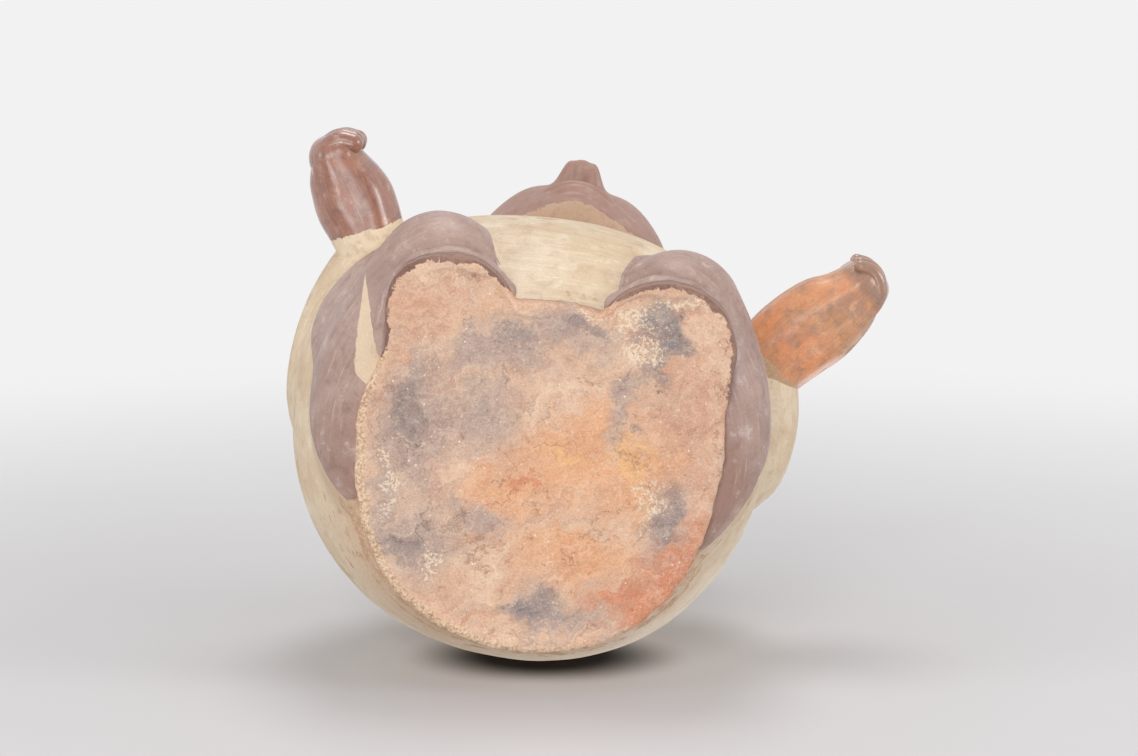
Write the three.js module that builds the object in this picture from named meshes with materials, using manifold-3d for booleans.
// A kneeling-figure jar, made of the clay pieces that a potter presses, rolls and lutes together.
// Millimetres, +Z up. The figure faces -Y, its right hand is on -X, and the origin is the middle
// of the flat underside that the jar stands on.

import * as THREE from "three";
import { mergeVertices } from "three/addons/utils/BufferGeometryUtils.js";
import Module from "manifold-3d";

const wasm = await Module();
wasm.setup();

// Clay
const WALL = 6; // pressed wall of the body and the head
const JOINT = 0.3; // gap left for the slip in every luted joint

// Base slab, measured from the origin
const SLAB_THICKNESS = 6;
const SLAB_HALF_WIDTH = 50;
const SLAB_FRONT = 42;
const SLAB_REAR = 57;
const SLAB_EDGE = 1.6; // rounding of the slab's edge

// Body
const BODY_HEIGHT = 112;
const BELLY_LEVEL = 50; // height of the widest place
const BELLY_HALF_WIDTH = 70;
const BELLY_FRONT = 57;
const BELLY_REAR = 73;
const BELLY_SWAY = -2; // the belly of the hand-made body leans to its right
const BODY_SQUARENESS = 2.2; // 2 is an ellipse, more is boxier
const FOOT_CURVE = 1; // less than 1 swells out sooner
const SHOULDER_CURVE = 0.8; // less than 1 keeps the shoulders fuller

// Neck
const NECK_RADIUS = 26;
const NECK_Y = -14;
const COIL_HEIGHT = 6;
const COIL_BULGE = 2.2; // how far the coil stands out of the neck

// Legs, which follow the slab they are folded on
const LOBE_RADIUS = 19.5; // round end of the slab under each knee
const LOBE_SET_IN = 1; // from the slab's widest place
const LOBE_SET_BACK = 10; // from the slab's front
const LOBE_X = SLAB_HALF_WIDTH - LOBE_RADIUS - LOBE_SET_IN;
const LOBE_Y = -(SLAB_FRONT - LOBE_SET_BACK);
const KNEE_OUTWARD = 4.5; // from the lobe's middle to the knee's
const KNEE_FORWARD = 9;
const KNEE_X = LOBE_X + KNEE_OUTWARD;
const KNEE_Y = LOBE_Y - KNEE_FORWARD;
const KNEE_LEVEL = 25;
const KNEE_RADIUS = 17.5;
const KNEE_RISE = 17.5; // half height of the knee
const HIP_SET_IN = 3;
const HIP_X = SLAB_HALF_WIDTH - HIP_SET_IN;
const HIP_Y = 18;
const HIP_LEVEL = 15;
const HIP_RADIUS = 8;
const HIP_RISE = 9;
const THIGH_BOW_OUT = 10; // how far beyond the slab the line of the thigh bows
const THIGH_BOW_X = SLAB_HALF_WIDTH + THIGH_BOW_OUT;
const THIGH_BOW_Y = -1;
const SHIN_RADIUS = 4.6;
const SHIN_INSET = 2.6; // from the slab's edge to the middle of the shin roll
const SHIN_BACK_Y = -8; // where the shin roll dies out behind
const SHIN_SINK = 0.6; // share of its radius that the roll keeps above the slab's top
const SHIN_TURNS = [0.76, 0.6, 0.42, 0.22, 0]; // half turns round the lobe, from its inside

// Arms, which follow the body they lie on
const SHOULDER_SET_IN = 25; // from the belly's widest place
const SHOULDER_DROP = 21; // from the body's top
const SHOULDER_X = BELLY_HALF_WIDTH - SHOULDER_SET_IN;
const SHOULDER_Y = 6;
const SHOULDER_LEVEL = BODY_HEIGHT - SHOULDER_DROP;
const ELBOW_SET_IN = 9;
const ELBOW_RISE = 6; // above the belly's widest place
const ELBOW_X = BELLY_HALF_WIDTH - ELBOW_SET_IN;
const ELBOW_Y = 14;
const ELBOW_LEVEL = BELLY_LEVEL + ELBOW_RISE;
const UPPER_ARM_RADIUS = 13;
const ELBOW_RADIUS = 12.5;
const CUFF_RADIUS = 11;
const FOREARM_BOW = 5.5; // how far the forearm bows out between the elbow and the wrist
const WRIST_RISE = 18;
const ARM_LEVEL = BELLY_LEVEL + WRIST_RISE; // height of the wrists and the hands
const RIGHT_WRIST_SET_IN = 12.5;
const RIGHT_WRIST_SET_BACK = 19.5; // from the belly's front
const RIGHT_WRIST_X = -(BELLY_HALF_WIDTH - RIGHT_WRIST_SET_IN);
const RIGHT_WRIST_Y = -(BELLY_FRONT - RIGHT_WRIST_SET_BACK);
const RIGHT_SPLAY = 24; // degrees that the hand points outwards
const RIGHT_EXTRA_LENGTH = 0;
const LEFT_WRIST_SET_IN = 7.5;
const LEFT_WRIST_SET_BACK = 37;
const LEFT_WRIST_X = BELLY_HALF_WIDTH - LEFT_WRIST_SET_IN;
const LEFT_WRIST_Y = -(BELLY_FRONT - LEFT_WRIST_SET_BACK);
const LEFT_SPLAY = 43;
const LEFT_EXTRA_LENGTH = 4.5; // the left hand of the hand-made figure is longer

// Hands, each along its own direction from the wrist
const PALM_LENGTH = 32; // from the wrist to the front of the palm
const PALM_THICKNESS = 20;
const PALM_DRAW_LENGTH = 2.5; // how much each side of the palm draws in towards the fingers
const PALM_HEIGHT = 23;
const FINGER_COUNT = 4;
const FINGER_RADIUS = 3.6;
const FINGER_REACH = 37.5; // from the wrist to the foremost knuckle
const FINGER_START = 17; // from the wrist to where the fingers leave the back of the hand
const FINGER_CURL = 6; // how far the tips come back round
const THUMB_RADIUS = 3.8;
const THUMB_LENGTH = 19;

// Head, measured from its own middle
const HEAD_Y = -24;
const HEAD_HEIGHT = 70;
const CHEEK_LEVEL = 25; // height of the widest place above the jaw's underside
const CHEEK_HALF_WIDTH = 34.5;
const FACE_DEPTH = 32;
const NAPE_DEPTH = 39;
const JAW_HALF_WIDTH = 29;
const JAW_DEPTH = 26;
const JAW_REAR = 37;
const CROWN_RADIUS = 23;
const CROWN_SET_BACK = 7; // the crown and the spout lie behind the head's middle
const HEAD_SQUARENESS = 2.1;
const JAW_CURVE = 0.7;
const CROWN_CURVE = 0.85;

// Face, on even thirds and halves
const EYE_LEVEL = 38;
const EYE_SPACING = 29; // between the middles of the eyes
const EYE_WIDTH = 14;
const EYE_HEIGHT = 7.5;
const EYE_BULGE = 2.4;
const LID_RADIUS = 1.1;
const BROW_RISE = 8;
const BROW_RADIUS = 1.5;
const NOSE_BASE_LEVEL = 21;
const NOSE_WIDTH = 15;
const NOSE_RISE = 10; // how far the tip stands out
const NOSE_TIP_HEIGHT = 6; // height of the round tip and the wings
const MOUTH_LEVEL = 13;
const MOUTH_WIDTH = 23;
const LIP_HEIGHT = 4.4;

// Ears and what is on the head
const EAR_HEIGHT = 24;
const EAR_WIDTH = 14;
const EAR_RISE = 6;
const EAR_LEVEL = 34;
const DISC_RADIUS = 9;
const DISC_THICKNESS = 5;
const DISC_DROP = 15; // from the ear's middle down to the disc's
const BAND_LEVEL = 53;
const BAND_HEIGHT = 9;
const BAND_THICKNESS = 3;

// Spout
const SPOUT_HEIGHT = 24;
const SPOUT_RADIUS = 20;
const SPOUT_FLARE = 5; // how much wider the lip is
const SPOUT_WALL = 5;
const RIM_HEIGHT = 5;

// Facets
const ROUND = 36; // points round the body and the head
const LEVELS = 9; // sections up the body and the head
const RING_STEPS = 24; // steps round the neck and the spout

const clays = {
  bare: new THREE.MeshStandardMaterial({ color: 0xcda184, roughness: 0.9, metalness: 0 }),
  cream: new THREE.MeshStandardMaterial({ color: 0xdccbb0, roughness: 0.7, metalness: 0 }),
  brown: new THREE.MeshStandardMaterial({ color: 0x8f6a5c, roughness: 0.5, metalness: 0 }),
  orange: new THREE.MeshStandardMaterial({ color: 0xc4835c, roughness: 0.5, metalness: 0 }),
  dark: new THREE.MeshStandardMaterial({ color: 0x6e4c42, roughness: 0.55, metalness: 0 }),
};

// Turns a closed geometry into a solid that can be joined and cut
function solid(geometry) {
  const bare = geometry.clone();
  bare.deleteAttribute("normal");
  bare.deleteAttribute("uv");
  const welded = mergeVertices(bare, 1e-4);
  return new wasm.Manifold(
    new wasm.Mesh({
      numProp: 3,
      vertProperties: new Float32Array(welded.attributes.position.array),
      triVerts: new Uint32Array(welded.index.array),
    }),
  );
}

// Makes the named mesh of a finished solid
function piece(name, clay, form) {
  const mesh = form.getMesh();
  const geometry = new THREE.BufferGeometry();
  geometry.setAttribute("position", new THREE.BufferAttribute(mesh.vertProperties, 3));
  geometry.setIndex(new THREE.BufferAttribute(mesh.triVerts, 1));
  geometry.computeVertexNormals();
  const made = new THREE.Mesh(geometry, clay);
  made.name = name;
  return made;
}

// The largest body of a trimmed form, without the crumbs that a cut leaves
function mainBody(form) {
  return form.decompose().reduce((best, body) => (body.volume() > best.volume() ? body : best));
}

// A solid between closed rings of equal count, closed by a fan at each end
function loft(rings) {
  const count = rings[0].length;
  const middle = (ring) => ring.reduce((sum, p) => sum.add(p), new THREE.Vector3()).divideScalar(count);
  const points = [...rings.flat(), middle(rings[0]), middle(rings.at(-1))];
  const first = points.length - 2;
  const last = points.length - 1;
  const faces = [];
  for (let i = 0; i < count; i++) {
    const next = (i + 1) % count;
    for (let level = 0; level < rings.length - 1; level++) {
      const low = level * count;
      const high = low + count;
      faces.push(low + i, low + next, high + next, low + i, high + next, high + i);
    }
    const top = (rings.length - 1) * count;
    faces.push(first, next, i, last, top + i, top + next);
  }
  const geometry = new THREE.BufferGeometry().setFromPoints(points);
  geometry.setIndex(faces);
  return solid(geometry);
}

// Swells from the foot to the widest place and closes in again towards the top; u runs from 0 to 1
function swell(u, widestAt, foot, widest, top, footPower, topPower) {
  if (u < widestAt) {
    return foot + (widest - foot) * Math.sin(((u / widestAt) * Math.PI) / 2) ** footPower;
  }
  const rise = Math.min((u - widestAt) / (1 - widestAt), 1);
  return top + (widest - top) * Math.max(Math.cos((rise * Math.PI) / 2), 0) ** topPower;
}

// A closed ring about its own middle, with its own reach to the sides, the front and the back
function ring(level, reach, squareness) {
  const power = 2 / squareness;
  const bend = (value) => Math.sign(value) * Math.abs(value) ** power;
  const points = [];
  for (let i = 0; i < ROUND; i++) {
    const angle = (i / ROUND) * Math.PI * 2;
    const side = bend(Math.cos(angle));
    const depth = bend(Math.sin(angle));
    const y = reach.y + depth * (depth > 0 ? reach.rear : reach.front);
    points.push(new THREE.Vector3(reach.x + side * reach.half, y, level));
  }
  return points;
}

function levels(low, high, count) {
  return Array.from({ length: count + 1 }, (_, i) => low + ((high - low) * i) / count);
}

// Everything on one side of a plane that stands across the Y axis, or above a level
const FAR = 400;
function behind(y) {
  return solid(new THREE.BoxGeometry(FAR, FAR, FAR).translate(0, y + FAR / 2, 0));
}
function inFrontOf(y) {
  return solid(new THREE.BoxGeometry(FAR, FAR, FAR).translate(0, y - FAR / 2, 0));
}
function above(level) {
  return solid(new THREE.BoxGeometry(FAR, FAR, FAR).translate(0, 0, level + FAR / 2));
}

// A roll of clay along a curve, with round ends. Its half width and half height follow the run.
function roll(curve, width, height, { sides, steps, caps }) {
  const upright = new THREE.Vector3(0, 0, 1);
  const rings = [];
  const addRing = (t, push, shrink) => {
    const tangent = curve.getTangent(t);
    const across = new THREE.Vector3().crossVectors(upright, tangent).normalize();
    const rise = new THREE.Vector3().crossVectors(tangent, across);
    const middle = curve.getPoint(t).addScaledVector(tangent, push * width(t));
    const points = [];
    for (let i = 0; i < sides; i++) {
      const angle = (i / sides) * Math.PI * 2;
      const edge = middle.clone().addScaledVector(across, Math.cos(angle) * width(t) * shrink);
      points.push(edge.addScaledVector(rise, Math.sin(angle) * height(t) * shrink));
    }
    rings.push(points);
  };
  const capTurn = (i) => ((i + 0.35) / caps) * (Math.PI / 2);
  for (let i = 0; i < caps; i++) {
    addRing(0, -Math.cos(capTurn(i)), Math.sin(capTurn(i)));
  }
  for (let i = 0; i <= steps; i++) {
    addRing(i / steps, 0, 1);
  }
  for (let i = caps - 1; i >= 0; i--) {
    addRing(1, Math.cos(capTurn(i)), Math.sin(capTurn(i)));
  }
  return loft(rings);
}

// A value that runs evenly from one end of a roll to the other
function run(from, to) {
  return (t) => from + (to - from) * t;
}

function point(x, y, z) {
  return new THREE.Vector3(x, y, z);
}

function ball(radii, place, segments = 16) {
  const geometry = new THREE.SphereGeometry(1, segments, segments / 2).rotateX(Math.PI / 2);
  return solid(geometry.scale(...radii.toArray()).translate(...place.toArray()));
}

// A turned form on an upright axis, from a closed outline of [radius, level] points
function turned(outline) {
  const profile = outline.map(([radius, level]) => new THREE.Vector2(radius, level));
  return solid(new THREE.LatheGeometry(profile, RING_STEPS).rotateX(Math.PI / 2));
}

// Base slab: the body's own outline with a round lobe under each knee

function slabPlate(shape) {
  const thickness = SLAB_THICKNESS - 2 * SLAB_EDGE;
  const plate = new THREE.ExtrudeGeometry(shape, {
    depth: thickness,
    bevelThickness: SLAB_EDGE,
    bevelSize: SLAB_EDGE,
    bevelOffset: -SLAB_EDGE,
    bevelSegments: 1,
    curveSegments: ROUND / 3,
  });
  return solid(plate.translate(0, 0, SLAB_EDGE));
}

function makeBaseSlab() {
  const reach = { x: 0, y: 0, half: SLAB_HALF_WIDTH, front: SLAB_FRONT, rear: SLAB_REAR };
  const outline = new THREE.Shape(ring(0, reach, BODY_SQUARENESS).map((p) => new THREE.Vector2(p.x, p.y)));
  let slab = slabPlate(outline);
  for (const side of [-1, 1]) {
    const lobe = new THREE.Shape();
    lobe.moveTo(0, 0);
    lobe.lineTo(side * (LOBE_X - LOBE_RADIUS), LOBE_Y);
    if (side > 0) {
      lobe.absarc(LOBE_X, LOBE_Y, LOBE_RADIUS, Math.PI, Math.PI * 2);
    } else {
      lobe.absarc(-LOBE_X, LOBE_Y, LOBE_RADIUS, 0, -Math.PI, true);
    }
    lobe.lineTo(side * SLAB_HALF_WIDTH, 0);
    slab = slab.add(slabPlate(lobe));
  }
  return piece("base_slab", clays.bare, slab);
}

// Body: a hollow egg form on the slab, open below and at the neck, pressed as two halves

const BODY_FOOT = SLAB_THICKNESS + JOINT;

function bodyReach(level, grow) {
  const u = (level - BODY_FOOT) / (BODY_HEIGHT - BODY_FOOT);
  const at = (BELLY_LEVEL - BODY_FOOT) / (BODY_HEIGHT - BODY_FOOT);
  const follow = (foot, widest, top) => swell(u, at, foot, widest, top, FOOT_CURVE, SHOULDER_CURVE);
  return {
    x: follow(0, BELLY_SWAY, 0),
    y: follow(0, 0, NECK_Y),
    half: follow(SLAB_HALF_WIDTH, BELLY_HALF_WIDTH, NECK_RADIUS) + grow,
    front: follow(SLAB_FRONT, BELLY_FRONT, NECK_RADIUS) + grow,
    rear: follow(SLAB_REAR, BELLY_REAR, NECK_RADIUS) + grow,
  };
}

// The body's form, grown or shrunk by a wall or a joint, and run on past its two open ends
function bodyForm(grow, overrun) {
  const sections = levels(BODY_FOOT, BODY_HEIGHT, LEVELS);
  const rings = sections.map((level) => ring(level, bodyReach(level, grow), BODY_SQUARENESS));
  if (overrun > 0) {
    rings.unshift(ring(BODY_FOOT - overrun, bodyReach(BODY_FOOT, grow), BODY_SQUARENESS));
    rings.push(ring(BODY_HEIGHT + overrun, bodyReach(BODY_HEIGHT, grow), BODY_SQUARENESS));
  }
  return loft(rings);
}

function makeBodyHalves() {
  const shell = bodyForm(0, 0).subtract(bodyForm(-WALL, WALL));
  return [
    piece("body_front", clays.cream, shell.intersect(inFrontOf(-JOINT / 2))),
    piece("body_back", clays.cream, shell.intersect(behind(JOINT / 2))),
  ];
}

// The room that the body takes, with the joint round it, for what is luted on from outside
const bodyRoom = bodyForm(JOINT, JOINT);

// Legs: a thigh that runs from the hip to the knee, and a shin roll along the slab's lobe

function thighRoll(side, grow) {
  const line = new THREE.QuadraticBezierCurve3(
    point(side * KNEE_X, KNEE_Y, KNEE_LEVEL),
    point(side * THIGH_BOW_X, THIGH_BOW_Y, (KNEE_LEVEL + HIP_LEVEL) / 2),
    point(side * HIP_X, HIP_Y, HIP_LEVEL),
  );
  const width = (t) => KNEE_RADIUS + (HIP_RADIUS - KNEE_RADIUS) * t * t + grow;
  const height = (t) => KNEE_RISE + (HIP_RISE - KNEE_RISE) * t * t + grow;
  return roll(line, width, height, { sides: 18, steps: 9, caps: 3 });
}

function makeThigh(side, name) {
  const form = thighRoll(side, 0).intersect(above(BODY_FOOT)).subtract(bodyRoom);
  return piece(`${name}_thigh`, clays.brown, mainBody(form));
}

function makeShin(side, name) {
  const middle = LOBE_RADIUS - SHIN_INSET;
  const level = BODY_FOOT + SHIN_RADIUS * SHIN_SINK;
  const turn = (share) => {
    const angle = Math.PI * share;
    return point(side * (LOBE_X + middle * Math.cos(angle)), LOBE_Y - middle * Math.sin(angle), level);
  };
  const back = point(side * (LOBE_X + middle), SHIN_BACK_Y, level);
  const line = new THREE.CatmullRomCurve3([...SHIN_TURNS.map(turn), back]);
  const width = run(SHIN_RADIUS, SHIN_RADIUS);
  const form = roll(line, width, width, { sides: 10, steps: 14, caps: 2 })
    .intersect(above(BODY_FOOT))
    .subtract(thighRoll(side, JOINT))
    .subtract(bodyRoom);
  return piece(`${name}_shin`, clays.brown, mainBody(form));
}

// Arms: a bent sleeve in low relief on the body, from the shoulder round the elbow to the wrist

function sleeveForm(side, wrist, grow) {
  const elbow = point(side * ELBOW_X, ELBOW_Y, ELBOW_LEVEL);
  const cuff = point(wrist.x, wrist.y, ARM_LEVEL);
  const upper = new THREE.LineCurve3(point(side * SHOULDER_X, SHOULDER_Y, SHOULDER_LEVEL), elbow);
  const bow = elbow.clone().lerp(cuff, 0.5).add(point(side * FOREARM_BOW, 0, 0));
  const lower = new THREE.QuadraticBezierCurve3(elbow, bow, cuff);
  const upperWidth = run(UPPER_ARM_RADIUS + grow, ELBOW_RADIUS + grow);
  const lowerWidth = run(ELBOW_RADIUS + grow, CUFF_RADIUS + grow);
  const upperArm = roll(upper, upperWidth, upperWidth, { sides: 12, steps: 3, caps: 2 });
  return upperArm.add(roll(lower, lowerWidth, lowerWidth, { sides: 12, steps: 6, caps: 3 }));
}

function makeSleeve(side, name, wrist) {
  const form = sleeveForm(side, wrist, 0).subtract(bodyRoom).subtract(thighRoll(side, JOINT));
  return piece(`${name}_sleeve`, clays.cream, mainBody(form));
}

// Hands: a palm, four fingers curled inwards and a thumb on top. Each hand is made pointing
// along -Y from its wrist at the origin, with the inside of the hand towards the figure.

function palmForm(inside, longer, grow) {
  const end = PALM_LENGTH + longer - PALM_THICKNESS / 2;
  const line = new THREE.QuadraticBezierCurve3(
    point(0, 0, 0),
    point(0, -end * 0.6, 0),
    point(-inside * PALM_DRAW_LENGTH, -end, 0),
  );
  const width = (t) => PALM_THICKNESS / 2 - PALM_DRAW_LENGTH * t * t + grow;
  const height = (t) => (PALM_HEIGHT / 2) * (0.9 + 0.1 * Math.sin(t * Math.PI)) + grow;
  return roll(line, width, height, { sides: 14, steps: 5, caps: 3 });
}

function fingerForm(inside, longer, grow) {
  const spacing = (PALM_HEIGHT - 2 * FINGER_RADIUS) / (FINGER_COUNT - 1);
  const side = PALM_THICKNESS / 2 - FINGER_RADIUS * 0.45;
  const front = FINGER_REACH + longer - FINGER_RADIUS;
  const bend = PALM_THICKNESS * 0.3;
  let form = null;
  for (let i = 0; i < FINGER_COUNT; i++) {
    const level = (i - (FINGER_COUNT - 1) / 2) * spacing;
    const line = new THREE.CatmullRomCurve3([
      point(-inside * side, -(FINGER_START + longer), level),
      point(-inside * side, -(front - bend), level),
      point(-inside * side * 0.6, -(front - bend * 0.25), level),
      point(-inside * side * 0.05, -front, level),
      point(inside * side * 0.45, -(front - FINGER_CURL), level),
    ]);
    const width = run(FINGER_RADIUS + grow, FINGER_RADIUS * 0.9 + grow);
    const finger = roll(line, width, width, { sides: 6, steps: 6, caps: 1 });
    form = form ? form.add(finger) : finger;
  }
  return form;
}

function thumbForm(inside) {
  const top = PALM_HEIGHT / 2 + THUMB_RADIUS * 0.4;
  const root = PALM_LENGTH * 0.25;
  const line = new THREE.QuadraticBezierCurve3(
    point(inside * PALM_THICKNESS * 0.2, -root, top - THUMB_RADIUS * 0.5),
    point(inside * PALM_THICKNESS * 0.4, -(root + THUMB_LENGTH * 0.5), top + THUMB_RADIUS * 0.6),
    point(inside * PALM_THICKNESS * 0.25, -(root + THUMB_LENGTH), top),
  );
  const width = run(THUMB_RADIUS, THUMB_RADIUS * 0.85);
  return roll(line, width, width, { sides: 8, steps: 5, caps: 2 });
}

function makeHand(side, name, clay, wrist) {
  const inside = -side;
  const turn = side * wrist.splay;
  const wristRoom = sleeveForm(side, wrist, JOINT)
    .add(bodyRoom)
    .translate([-wrist.x, -wrist.y, -ARM_LEVEL])
    .rotate([0, 0, -turn]);
  const palm = palmForm(inside, wrist.longer, 0);
  const palmRoom = palmForm(inside, wrist.longer, JOINT);
  const fingers = fingerForm(inside, wrist.longer, 0);
  const fingerRoom = fingerForm(inside, wrist.longer, JOINT);
  const hand = new THREE.Group();
  hand.add(
    piece(`${name}_hand`, clay, mainBody(palm.subtract(wristRoom))),
    piece(`${name}_fingers`, clay, mainBody(fingers.subtract(palmRoom))),
    piece(`${name}_thumb`, clay, mainBody(thumbForm(inside).subtract(palmRoom).subtract(fingerRoom))),
  );
  hand.position.set(wrist.x, wrist.y, ARM_LEVEL);
  hand.rotation.z = THREE.MathUtils.degToRad(turn);
  return hand;
}

// Neck: a coil of clay between the body's neck and the head

function makeNeckCoil() {
  const inner = NECK_RADIUS - WALL;
  const middle = NECK_RADIUS + COIL_BULGE;
  const coil = turned([
    [inner, 0],
    [NECK_RADIUS, 0],
    [middle, COIL_HEIGHT * 0.3],
    [middle, COIL_HEIGHT * 0.7],
    [NECK_RADIUS, COIL_HEIGHT],
    [inner, COIL_HEIGHT],
    [inner, 0],
  ]);
  const mesh = piece("neck_coil", clays.cream, coil);
  mesh.position.set(0, NECK_Y, BODY_HEIGHT + JOINT);
  return mesh;
}

// Head: a hollow form with its own middle as origin, open to the neck below and the spout above

function headReach(level, low, high, grow) {
  const u = (level - low) / (high - low);
  const at = CHEEK_LEVEL / HEAD_HEIGHT;
  const follow = (jaw, widest, crown) => swell(u, at, jaw, widest, crown, JAW_CURVE, CROWN_CURVE);
  return {
    x: 0,
    y: follow(0, 0, CROWN_SET_BACK),
    half: follow(JAW_HALF_WIDTH, CHEEK_HALF_WIDTH, CROWN_RADIUS) + grow,
    front: follow(JAW_DEPTH, FACE_DEPTH, CROWN_RADIUS) + grow,
    rear: follow(JAW_REAR, NAPE_DEPTH, CROWN_RADIUS) + grow,
  };
}

function headForm(grow, low, high) {
  const sections = levels(low, high, LEVELS);
  return loft(sections.map((level) => ring(level, headReach(level, low, high, grow), HEAD_SQUARENESS)));
}

// Where the face's own surface lies at a height and a distance from the middle
function faceDepth(x, level) {
  const reach = headReach(level, 0, HEAD_HEIGHT, 0);
  const share = Math.abs(x / reach.half) ** HEAD_SQUARENESS;
  return reach.y - reach.front * Math.max(1 - share, 0) ** (1 / HEAD_SQUARENESS);
}

function noseForm() {
  const bridge = EYE_LEVEL + BROW_RISE * 0.4;
  const middle = (NOSE_BASE_LEVEL + NOSE_TIP_HEIGHT + bridge) / 2;
  const sections = [
    { level: NOSE_BASE_LEVEL - NOSE_TIP_HEIGHT / 3, half: NOSE_WIDTH * 0.34, rise: NOSE_RISE * 0.35 },
    { level: NOSE_BASE_LEVEL, half: NOSE_WIDTH * 0.46, rise: NOSE_RISE * 0.78 },
    { level: NOSE_BASE_LEVEL + NOSE_TIP_HEIGHT / 2, half: NOSE_WIDTH / 2, rise: NOSE_RISE },
    { level: NOSE_BASE_LEVEL + NOSE_TIP_HEIGHT, half: NOSE_WIDTH * 0.4, rise: NOSE_RISE * 0.9 },
    { level: middle, half: NOSE_WIDTH * 0.24, rise: NOSE_RISE * 0.58 },
    { level: bridge, half: NOSE_WIDTH * 0.2, rise: NOSE_RISE * 0.22 },
  ];
  const sides = 12;
  const rings = sections.map(({ level, half, rise }) => {
    const root = faceDepth(0, level) + WALL / 2;
    return Array.from({ length: sides }, (_, i) => {
      const angle = (i / sides) * Math.PI * 2;
      const out = Math.sin(angle) < 0 ? rise + WALL / 2 : WALL / 4;
      return point(Math.cos(angle) * half, root + Math.sin(angle) * out, level);
    });
  });
  return loft(rings);
}

// Facets of the thin rolls that draw the eyes, the brows and the lips
const FINE = { sides: 6, steps: 4, caps: 1 };

function lidRoll(x, rise) {
  const end = (side) => {
    const place = x + (side * EYE_WIDTH) / 2;
    return point(place, faceDepth(place, EYE_LEVEL), EYE_LEVEL);
  };
  const middle = point(x, faceDepth(x, EYE_LEVEL + rise) - LID_RADIUS / 3, EYE_LEVEL + rise * 2);
  const line = new THREE.QuadraticBezierCurve3(end(-1), middle, end(1));
  const width = run(LID_RADIUS, LID_RADIUS);
  return roll(line, width, width, FINE);
}

function browRoll(x) {
  const level = EYE_LEVEL + BROW_RISE;
  const end = (side, drop) => {
    const place = x + (side * EYE_WIDTH) / 1.8;
    return point(place, faceDepth(place, level - drop) + BROW_RADIUS * 0.4, level - drop);
  };
  const middle = point(x, faceDepth(x, level) - BROW_RADIUS * 0.4, level + BROW_RADIUS);
  const outward = Math.sign(x);
  const line = new THREE.QuadraticBezierCurve3(end(-outward, 0.5), middle, end(outward, BROW_RISE / 4));
  const width = run(BROW_RADIUS, BROW_RADIUS * 0.8);
  return roll(line, width, width, FINE);
}

function lipRoll(level, droop, thickness) {
  const end = (side) => {
    const place = (side * MOUTH_WIDTH) / 2;
    return point(place, faceDepth(place, MOUTH_LEVEL) + 0.4, MOUTH_LEVEL);
  };
  const middle = point(0, faceDepth(0, level) - 1.2, level + droop);
  const line = new THREE.QuadraticBezierCurve3(end(-1), middle, end(1));
  const height = (t) => thickness * (0.35 + 0.65 * Math.sin(t * Math.PI));
  return roll(line, height, height, FINE);
}

function makeHeadHalves() {
  const bore = (radius, low, high) =>
    turned([
      [0, low],
      [radius, low],
      [radius, high],
      [0, high],
    ]);
  const neckBore = bore(NECK_RADIUS - WALL, -WALL, 2 * WALL).translate([0, NECK_Y - HEAD_Y, 0]);
  const spoutBore = bore(SPOUT_RADIUS - SPOUT_WALL, HEAD_HEIGHT - 2 * WALL, HEAD_HEIGHT + WALL).translate([
    0,
    CROWN_SET_BACK,
    0,
  ]);
  const hollow = headForm(-WALL, WALL, HEAD_HEIGHT - WALL);
  const shell = headForm(0, 0, HEAD_HEIGHT).subtract(hollow).subtract(neckBore).subtract(spoutBore);
  let face = noseForm();
  for (const side of [-1, 1]) {
    const x = (side * EYE_SPACING) / 2;
    const eye = point(EYE_WIDTH / 2 - LID_RADIUS, EYE_BULGE, EYE_HEIGHT / 2);
    face = face
      .add(ball(eye, point(x, faceDepth(x, EYE_LEVEL) + 0.9, EYE_LEVEL), 8))
      .add(lidRoll(x, EYE_HEIGHT / 2))
      .add(lidRoll(x, -EYE_HEIGHT / 2))
      .add(browRoll(x));
  }
  face = face
    .add(lipRoll(MOUTH_LEVEL + LIP_HEIGHT / 2, 0.3, LIP_HEIGHT / 2))
    .add(lipRoll(MOUTH_LEVEL - LIP_HEIGHT / 2, -0.6, LIP_HEIGHT / 2));
  const front = shell.intersect(inFrontOf(-JOINT / 2)).add(face.subtract(hollow));
  const back = shell.intersect(behind(JOINT / 2));
  return [piece("head_front", clays.brown, front), piece("head_back", clays.dark, back)];
}

const headRoom = headForm(JOINT, 0, HEAD_HEIGHT);

// Ears with round ear discs below them, luted to the sides of the head over its seam

function earForm(side, grow) {
  const x = side * CHEEK_HALF_WIDTH;
  const whole = ball(
    point(EAR_RISE + grow, EAR_WIDTH / 2 + grow, EAR_HEIGHT / 2 + grow),
    point(x, 0, EAR_LEVEL),
    12,
  );
  if (grow > 0) {
    return whole;
  }
  const bowl = ball(
    point(EAR_RISE * 0.7, EAR_WIDTH * 0.26, EAR_HEIGHT * 0.27),
    point(x + side * EAR_RISE * 0.95, -EAR_WIDTH * 0.08, EAR_LEVEL + EAR_HEIGHT * 0.05),
    10,
  );
  return whole.subtract(bowl);
}

function makeEar(side, name) {
  return piece(`${name}_ear`, clays.brown, mainBody(earForm(side, 0).subtract(headRoom)));
}

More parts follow.
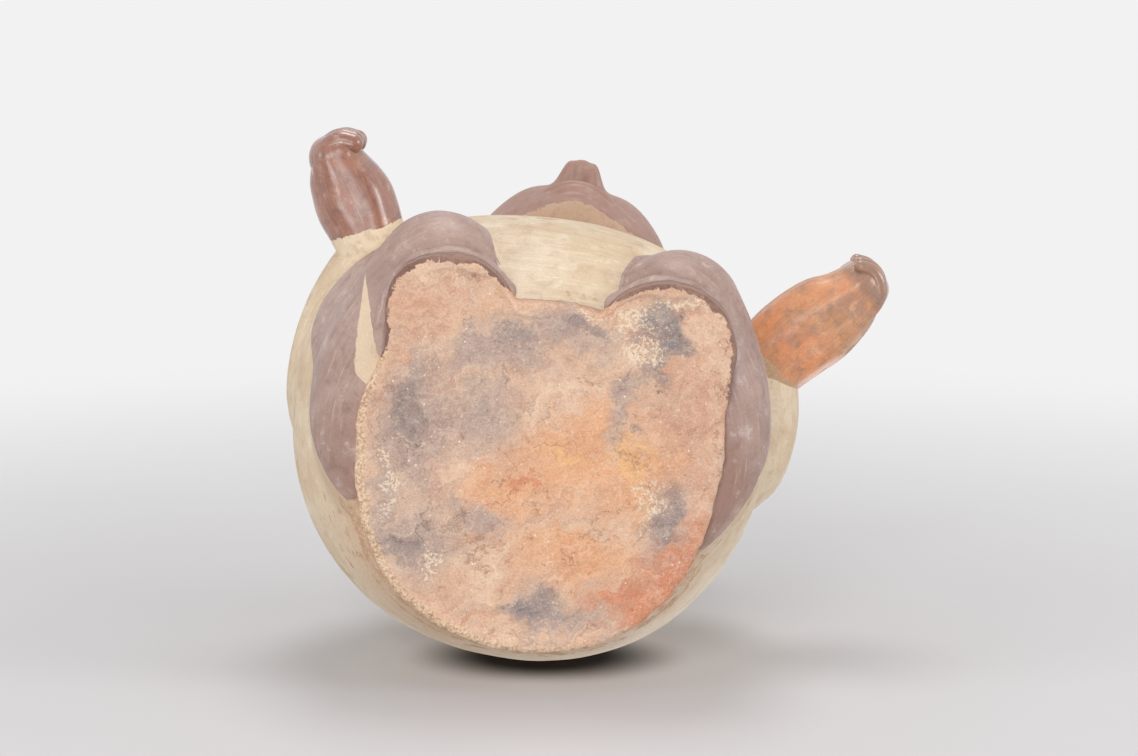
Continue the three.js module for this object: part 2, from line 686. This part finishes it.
function makeEarDisc(side, name) {
  const dish = DISC_THICKNESS * 0.25;
  const outline = [
    [0, -DISC_THICKNESS],
    [DISC_RADIUS, -DISC_THICKNESS],
    [DISC_RADIUS, DISC_THICKNESS * 0.8],
    [DISC_RADIUS * 0.9, DISC_THICKNESS],
    [DISC_RADIUS * 0.72, DISC_THICKNESS],
    [DISC_RADIUS * 0.64, DISC_THICKNESS - dish],
    [DISC_RADIUS * 0.3, DISC_THICKNESS - dish],
    [0, DISC_THICKNESS],
  ];
  const profile = outline.map(([radius, level]) => new THREE.Vector2(radius, level));
  const geometry = new THREE.LatheGeometry(profile, 18).rotateX(Math.PI / 2).rotateY((side * Math.PI) / 2);
  const level = EAR_LEVEL - DISC_DROP;
  const reach = headReach(level, 0, HEAD_HEIGHT, 0);
  const disc = solid(geometry.translate(side * reach.half, 0, level));
  return piece(
    `${name}_ear_disc`,
    clays.cream,
    mainBody(disc.subtract(headRoom).subtract(earForm(side, JOINT))),
  );
}

// Headband: a flat strip laid round the forehead, thickest along its middle

function makeHeadband() {
  const bandRing = (level, grow) => ring(level, headReach(level, 0, HEAD_HEIGHT, grow), HEAD_SQUARENESS);
  const low = BAND_LEVEL - BAND_HEIGHT / 2;
  const high = BAND_LEVEL + BAND_HEIGHT / 2;
  const outer = loft([
    bandRing(low, JOINT + BAND_THICKNESS * 0.6),
    bandRing(low + BAND_HEIGHT * 0.25, JOINT + BAND_THICKNESS),
    bandRing(high - BAND_HEIGHT * 0.25, JOINT + BAND_THICKNESS),
    bandRing(high, JOINT + BAND_THICKNESS * 0.6),
  ]);
  return piece("headband", clays.cream, outer.subtract(headRoom));
}

// Spout: a short flared jar neck on the crown, finished with a coil along its lip

function makeSpout() {
  const lip = SPOUT_RADIUS + SPOUT_FLARE;
  const bore = SPOUT_RADIUS - SPOUT_WALL;
  const neck = turned([
    [bore, 0],
    [SPOUT_RADIUS + 1.5, 0],
    [SPOUT_RADIUS + 0.4, SPOUT_HEIGHT * 0.12],
    [SPOUT_RADIUS, SPOUT_HEIGHT * 0.35],
    [SPOUT_RADIUS + SPOUT_FLARE * 0.2, SPOUT_HEIGHT * 0.65],
    [lip, SPOUT_HEIGHT],
    [lip - SPOUT_WALL, SPOUT_HEIGHT],
    [bore + SPOUT_FLARE * 0.2, SPOUT_HEIGHT * 0.65],
    [bore, SPOUT_HEIGHT * 0.35],
    [bore, 0],
  ]);
  const rim = turned([
    [lip - SPOUT_WALL, 0],
    [lip, 0],
    [lip + 1.2, RIM_HEIGHT * 0.35],
    [lip + 0.8, RIM_HEIGHT * 0.8],
    [lip - SPOUT_WALL * 0.35, RIM_HEIGHT],
    [lip - SPOUT_WALL * 0.75, RIM_HEIGHT * 0.9],
    [lip - SPOUT_WALL, RIM_HEIGHT * 0.5],
    [lip - SPOUT_WALL, 0],
  ]);
  const neckMesh = piece("spout_neck", clays.brown, neck);
  const rimMesh = piece("spout_rim", clays.brown, rim);
  rimMesh.position.z = SPOUT_HEIGHT + JOINT;
  const spout = new THREE.Group();
  spout.add(neckMesh, rimMesh);
  spout.position.set(0, CROWN_SET_BACK, HEAD_HEIGHT + JOINT);
  return spout;
}

// The whole jar

const rightWrist = { x: RIGHT_WRIST_X, y: RIGHT_WRIST_Y, splay: RIGHT_SPLAY, longer: RIGHT_EXTRA_LENGTH };
const leftWrist = { x: LEFT_WRIST_X, y: LEFT_WRIST_Y, splay: LEFT_SPLAY, longer: LEFT_EXTRA_LENGTH };
const sides = [
  { side: -1, name: "right", clay: clays.brown, wrist: rightWrist },
  { side: 1, name: "left", clay: clays.orange, wrist: leftWrist },
];

const head = new THREE.Group();
head.position.set(0, HEAD_Y, BODY_HEIGHT + COIL_HEIGHT + 2 * JOINT);
head.add(...makeHeadHalves(), makeHeadband(), makeSpout());

const jar = new THREE.Group();
jar.add(makeBaseSlab(), ...makeBodyHalves(), makeNeckCoil(), head);
for (const { side, name, clay, wrist } of sides) {
  jar.add(makeThigh(side, name), makeShin(side, name), makeSleeve(side, name, wrist));
  jar.add(makeHand(side, name, clay, wrist));
  head.add(makeEar(side, name), makeEarDisc(side, name));
}

export default jar;
